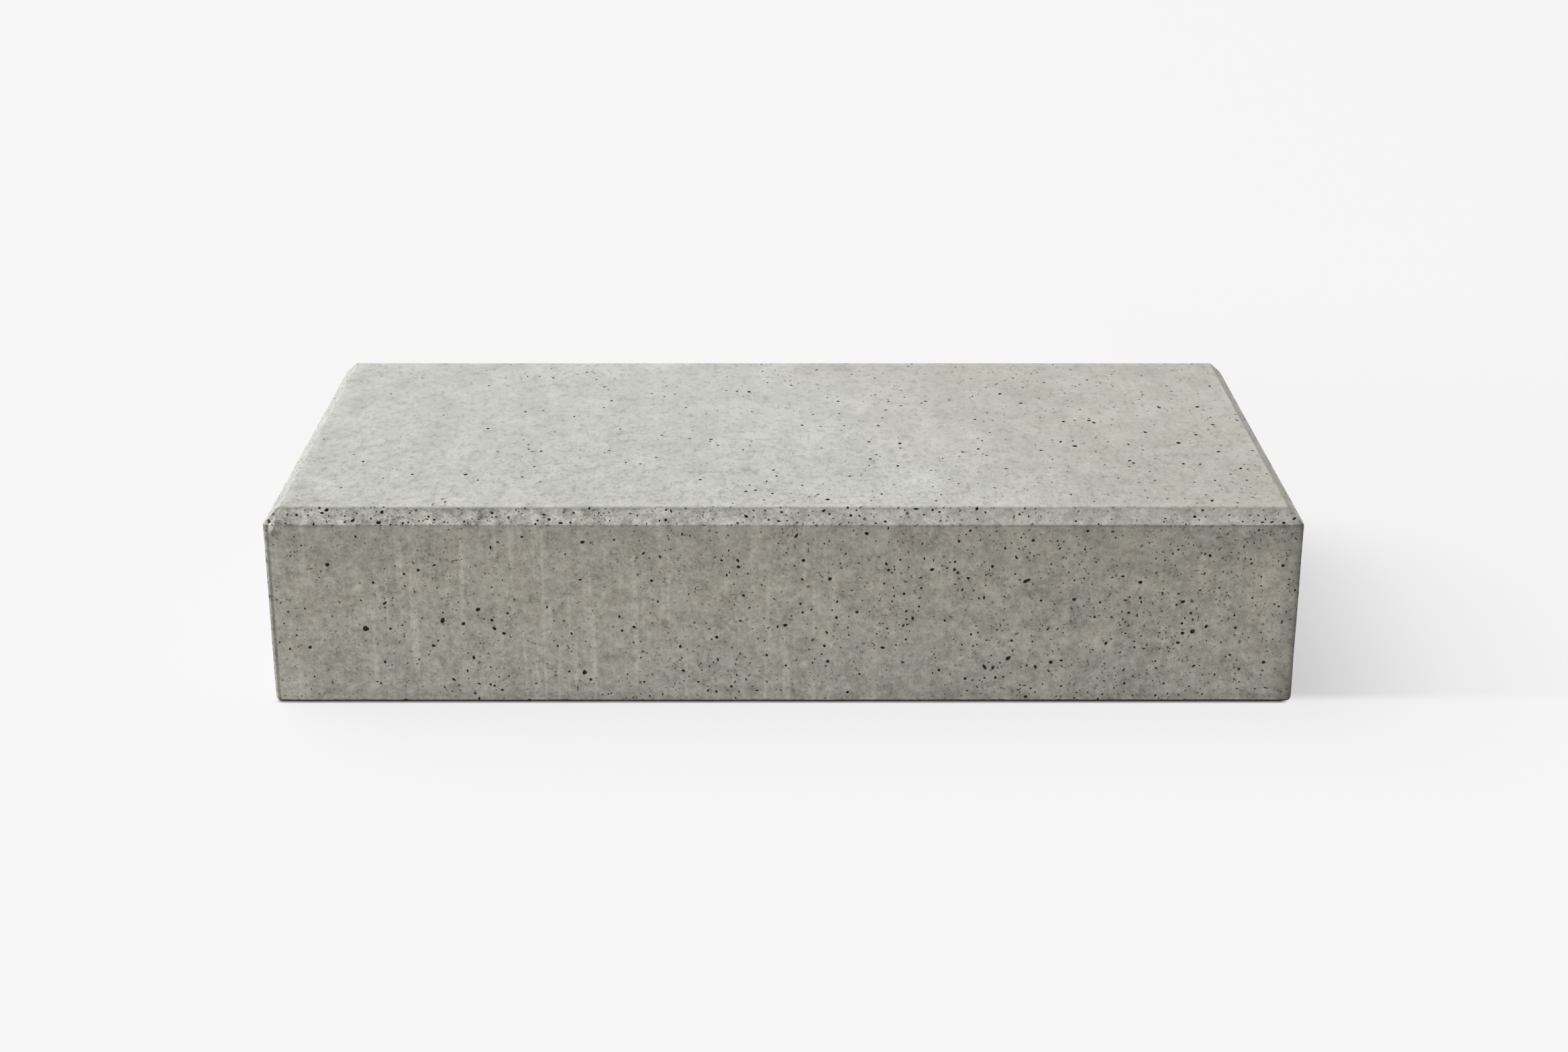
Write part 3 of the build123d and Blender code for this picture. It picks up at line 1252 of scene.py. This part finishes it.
# Painted shade: the rounded foot is darkened where it turns down towards the paper.
foot = (up + ragged * 0.6 - to_right * (0.2 * mm)).step(1.5 * mm, 1.0 * mm)
inside_end = (across.size() - high.x).at_most(0).size()
inside_side = (along_depth.size() - high.y).at_most(0).size()
from_edge = inside_end.at_least(inside_side)
seam_place = from_edge + ragged * 1.1
seam = seam_place.step(1.2 * mm, 2.2 * mm) * seam_place.step(3.9 * mm, 2.8 * mm) * on_wall
seam = seam * patches.step(-0.9, 0).between(0.6, 1) * front_left.between(0.15, 1)
# Painted highlight: the rounded upright edge at the front left is made lighter, where it faces the light.
painted_highlight_left_edge = (from_edge + ragged * 0.6).step(1.5 * mm, 0.7 * mm) * on_wall * front_left

# %% Tone
def changed(tone, darker, lighter):
    """The tone made darker or lighter where each mask is 1, by the share beside it."""
    for mask, share in darker:
        tone = tone * (1 - mask * share)
    for mask, share in lighter:
        tone = tone * (1 + mask * share)
    return tone


darkest_tone = 0.15
surface_tone = changed(
    1 + cloudiness + streaking + rippling,
    darker=[
        (wisps, 0.05),
        (curls, 0.17),
        (smears, 0.08),
        (specks, speck_share),
        (pinholes, pinhole_share),
        (dots, dot_share),
        (strokes, stroke_share),
        (grit, grit_share),
        (fine_grit, fine_share),
        (shade_under_lower_arris, shade_under_lower_share),
        (under_upper, under_upper_share),
        (shaded_high, 0.12),
        (low_stain_and_shade, 0.11),
        (foot, 0.84),
        (seam, 0.42),
        (mitre, 0.22),
    ],
    lighter=[
        (on_top, near_front.between(0.034, 0.018)),
        (bevel_low, 0.06),
        (pale_rim, 0.05),
        (painted_highlight_left_edge, 0.1),
    ],
)

# %% Colour
cool_grey = (0.527, 0.533, 0.517, 1)
warm_grey = (0.527, 0.484, 0.405, 1)
green_grey = (0.512, 0.524, 0.464, 1)
right_part = (along_depth * 0.44 + across + broad * (40 * mm)).step(20 * mm, 190 * mm)
low_wall = up.step(75 * mm, 10 * mm) * on_wall
# Partly painted light: the walls are made warmer, as the paper lights them, and the left end cooler, as
# white light falls on it.
wall_warmth_and_light_tint = (0.61 - on_bevel * 0.16 - low_wall * 0.12) * (1 - left_side * 0.75)
top_warmth = right_part.between(0.19, 0.52)
warm_noise = concrete.clouds(place, 11, (8, 1, 5), detail=3, roughness=0.95)
green_noise = concrete.clouds(place, 24, (1, 8, 8), detail=2, roughness=0.8)
warm_share = on_wall * 0.41 + on_bevel * 0.32 + on_top * right_part.between(0.25, 0.55)
warmth = on_top * top_warmth + off_top * wall_warmth_and_light_tint + warm_noise * warm_share
warmth = (warmth + stains * right_part * 0.3).at_least(0).at_most(1)
greenness = (green_noise * 0.9 + 0.12).at_least(0).at_most(1)
base_colour = concrete.mixed(greenness, concrete.mixed(warmth, cool_grey, warm_grey), green_grey)

# %% Parts of the block that are darker or lighter, some by their own tone, some by painted light and shade
low_down = up.step(95 * mm, 45 * mm)
right_shade_and_tone = off_top * across.step(-50 * mm, 180 * mm)
to_far_left = off_top * leftwards.step(high.x - 24 * mm, high.x - 8 * mm)
left_edge = leftwards.step(high.x - 4.5 * mm, high.x - 2 * mm) * on_wall
# Painted shade: the last millimetres of the wall at the right end are darker, as the rounded edge turns
# away from the light.
right_edge_painted_shade = across.step(high.x - 15 * mm, high.x - 4.5 * mm) * 0.19
right_edge_painted_shade = right_edge_painted_shade + across.step(high.x - 3.5 * mm, high.x - 1 * mm) * 0.22
part_tone = changed(
    surface_tone.at_least(darkest_tone),
    darker=[
        # Darker to the right, on the top and the walls: partly the block's own tone, partly painted shade
        # where the light falls off.
        (on_top * right_part, 0.13),
        (right_shade_and_tone, 0.108 - on_bevel * 0.07),
        (right_edge_painted_shade * on_wall, towards_end.step(2.8 * mm, 1.8 * mm)),
        (left_side, low_down.between(0.12, 0.20)),
        (left_edge, low_down * 0.12),
    ],
    lighter=[
        # Painted light: the lower wall is made lighter, standing in for light from the paper.
        (low_wall, to_right.between(0.03, 0.07)),
        (to_far_left, 0.07),
        # Painted light: the right end's bevel is made lighter, as if light from above fell on it.
        (right_bevel_painted_light, 0.35),
    ],
)

# %% A pale scuff, partly a painted highlight on a chipped facet, and a dark patch on the front left corner
on_front = (along_depth * -1).step(high.y - 9 * mm, high.y - 7 * mm)
scuff_lean = 0.33
above_scuff = up - (level - 1.1 * mm)
beside_scuff = across - above_scuff * scuff_lean - (low.x + 5 * mm)
from_scuff = (beside_scuff / (1.5 * mm)) ** 2 + (above_scuff / (5 * mm)) ** 2
# The scuff is partly painted highlight: a chipped facet made pale as though it faced the light.
scuff_and_highlight = (from_scuff + ragged_noise * 0.3).step(1.3, 0.4) * on_front
beside_dark_patch = (across - (low.x + 7 * mm)) / (3.8 * mm)
above_dark_patch = (up - (level - 4.5 * mm)) / (2.5 * mm)
dark_patch = (beside_dark_patch**2 + above_dark_patch**2 + ragged_noise).step(1.7, -0.2) * on_front
tone = changed(part_tone, darker=[(dark_patch, 0.5)], lighter=[(scuff_and_highlight, 0.95)])

# %% Relief too fine to model, and the finished concrete
relief = sand * on_bevel.between(0.016, 0.036) - curls * 0.05 - wisps * 0.03
bump_sockets = {"Height": relief, "Distance": mm, "Strength": 1}
sockets = {
    "Base Color": concrete.scaled(base_colour, tone),
    "Roughness": (sand * 0.05 + 0.88).at_most(1),
    "Normal": concrete.node("ShaderNodeBump", sockets=bump_sockets, output="Normal"),
    "Specular IOR Level": 0.3,
}
concrete_material = concrete.finish(concrete.node("ShaderNodeBsdfPrincipled", sockets=sockets))

# %% Dark inside the pits: painted shade, and the dust that gathers there
def pit_material(name, colour):
    """A dull material with one colour all over."""
    recipe = Recipe(name)
    sockets = {"Base Color": (*colour, 1), "Roughness": 0.95, "Specular IOR Level": 0.2}
    return recipe.finish(recipe.node("ShaderNodeBsdfPrincipled", sockets=sockets))


looks = {
    SKIN: concrete_material,
    DEEP: pit_material("pit_shadow_look", (0.085, 0.078, 0.066)),
    SHALLOW: pit_material("pit_shallow_look", (0.235, 0.223, 0.194)),
}
for number, material in enumerate(block.data.materials):
    block.data.materials[number] = looks[material.name]
print("finishes", [material.name for material in block.data.materials])
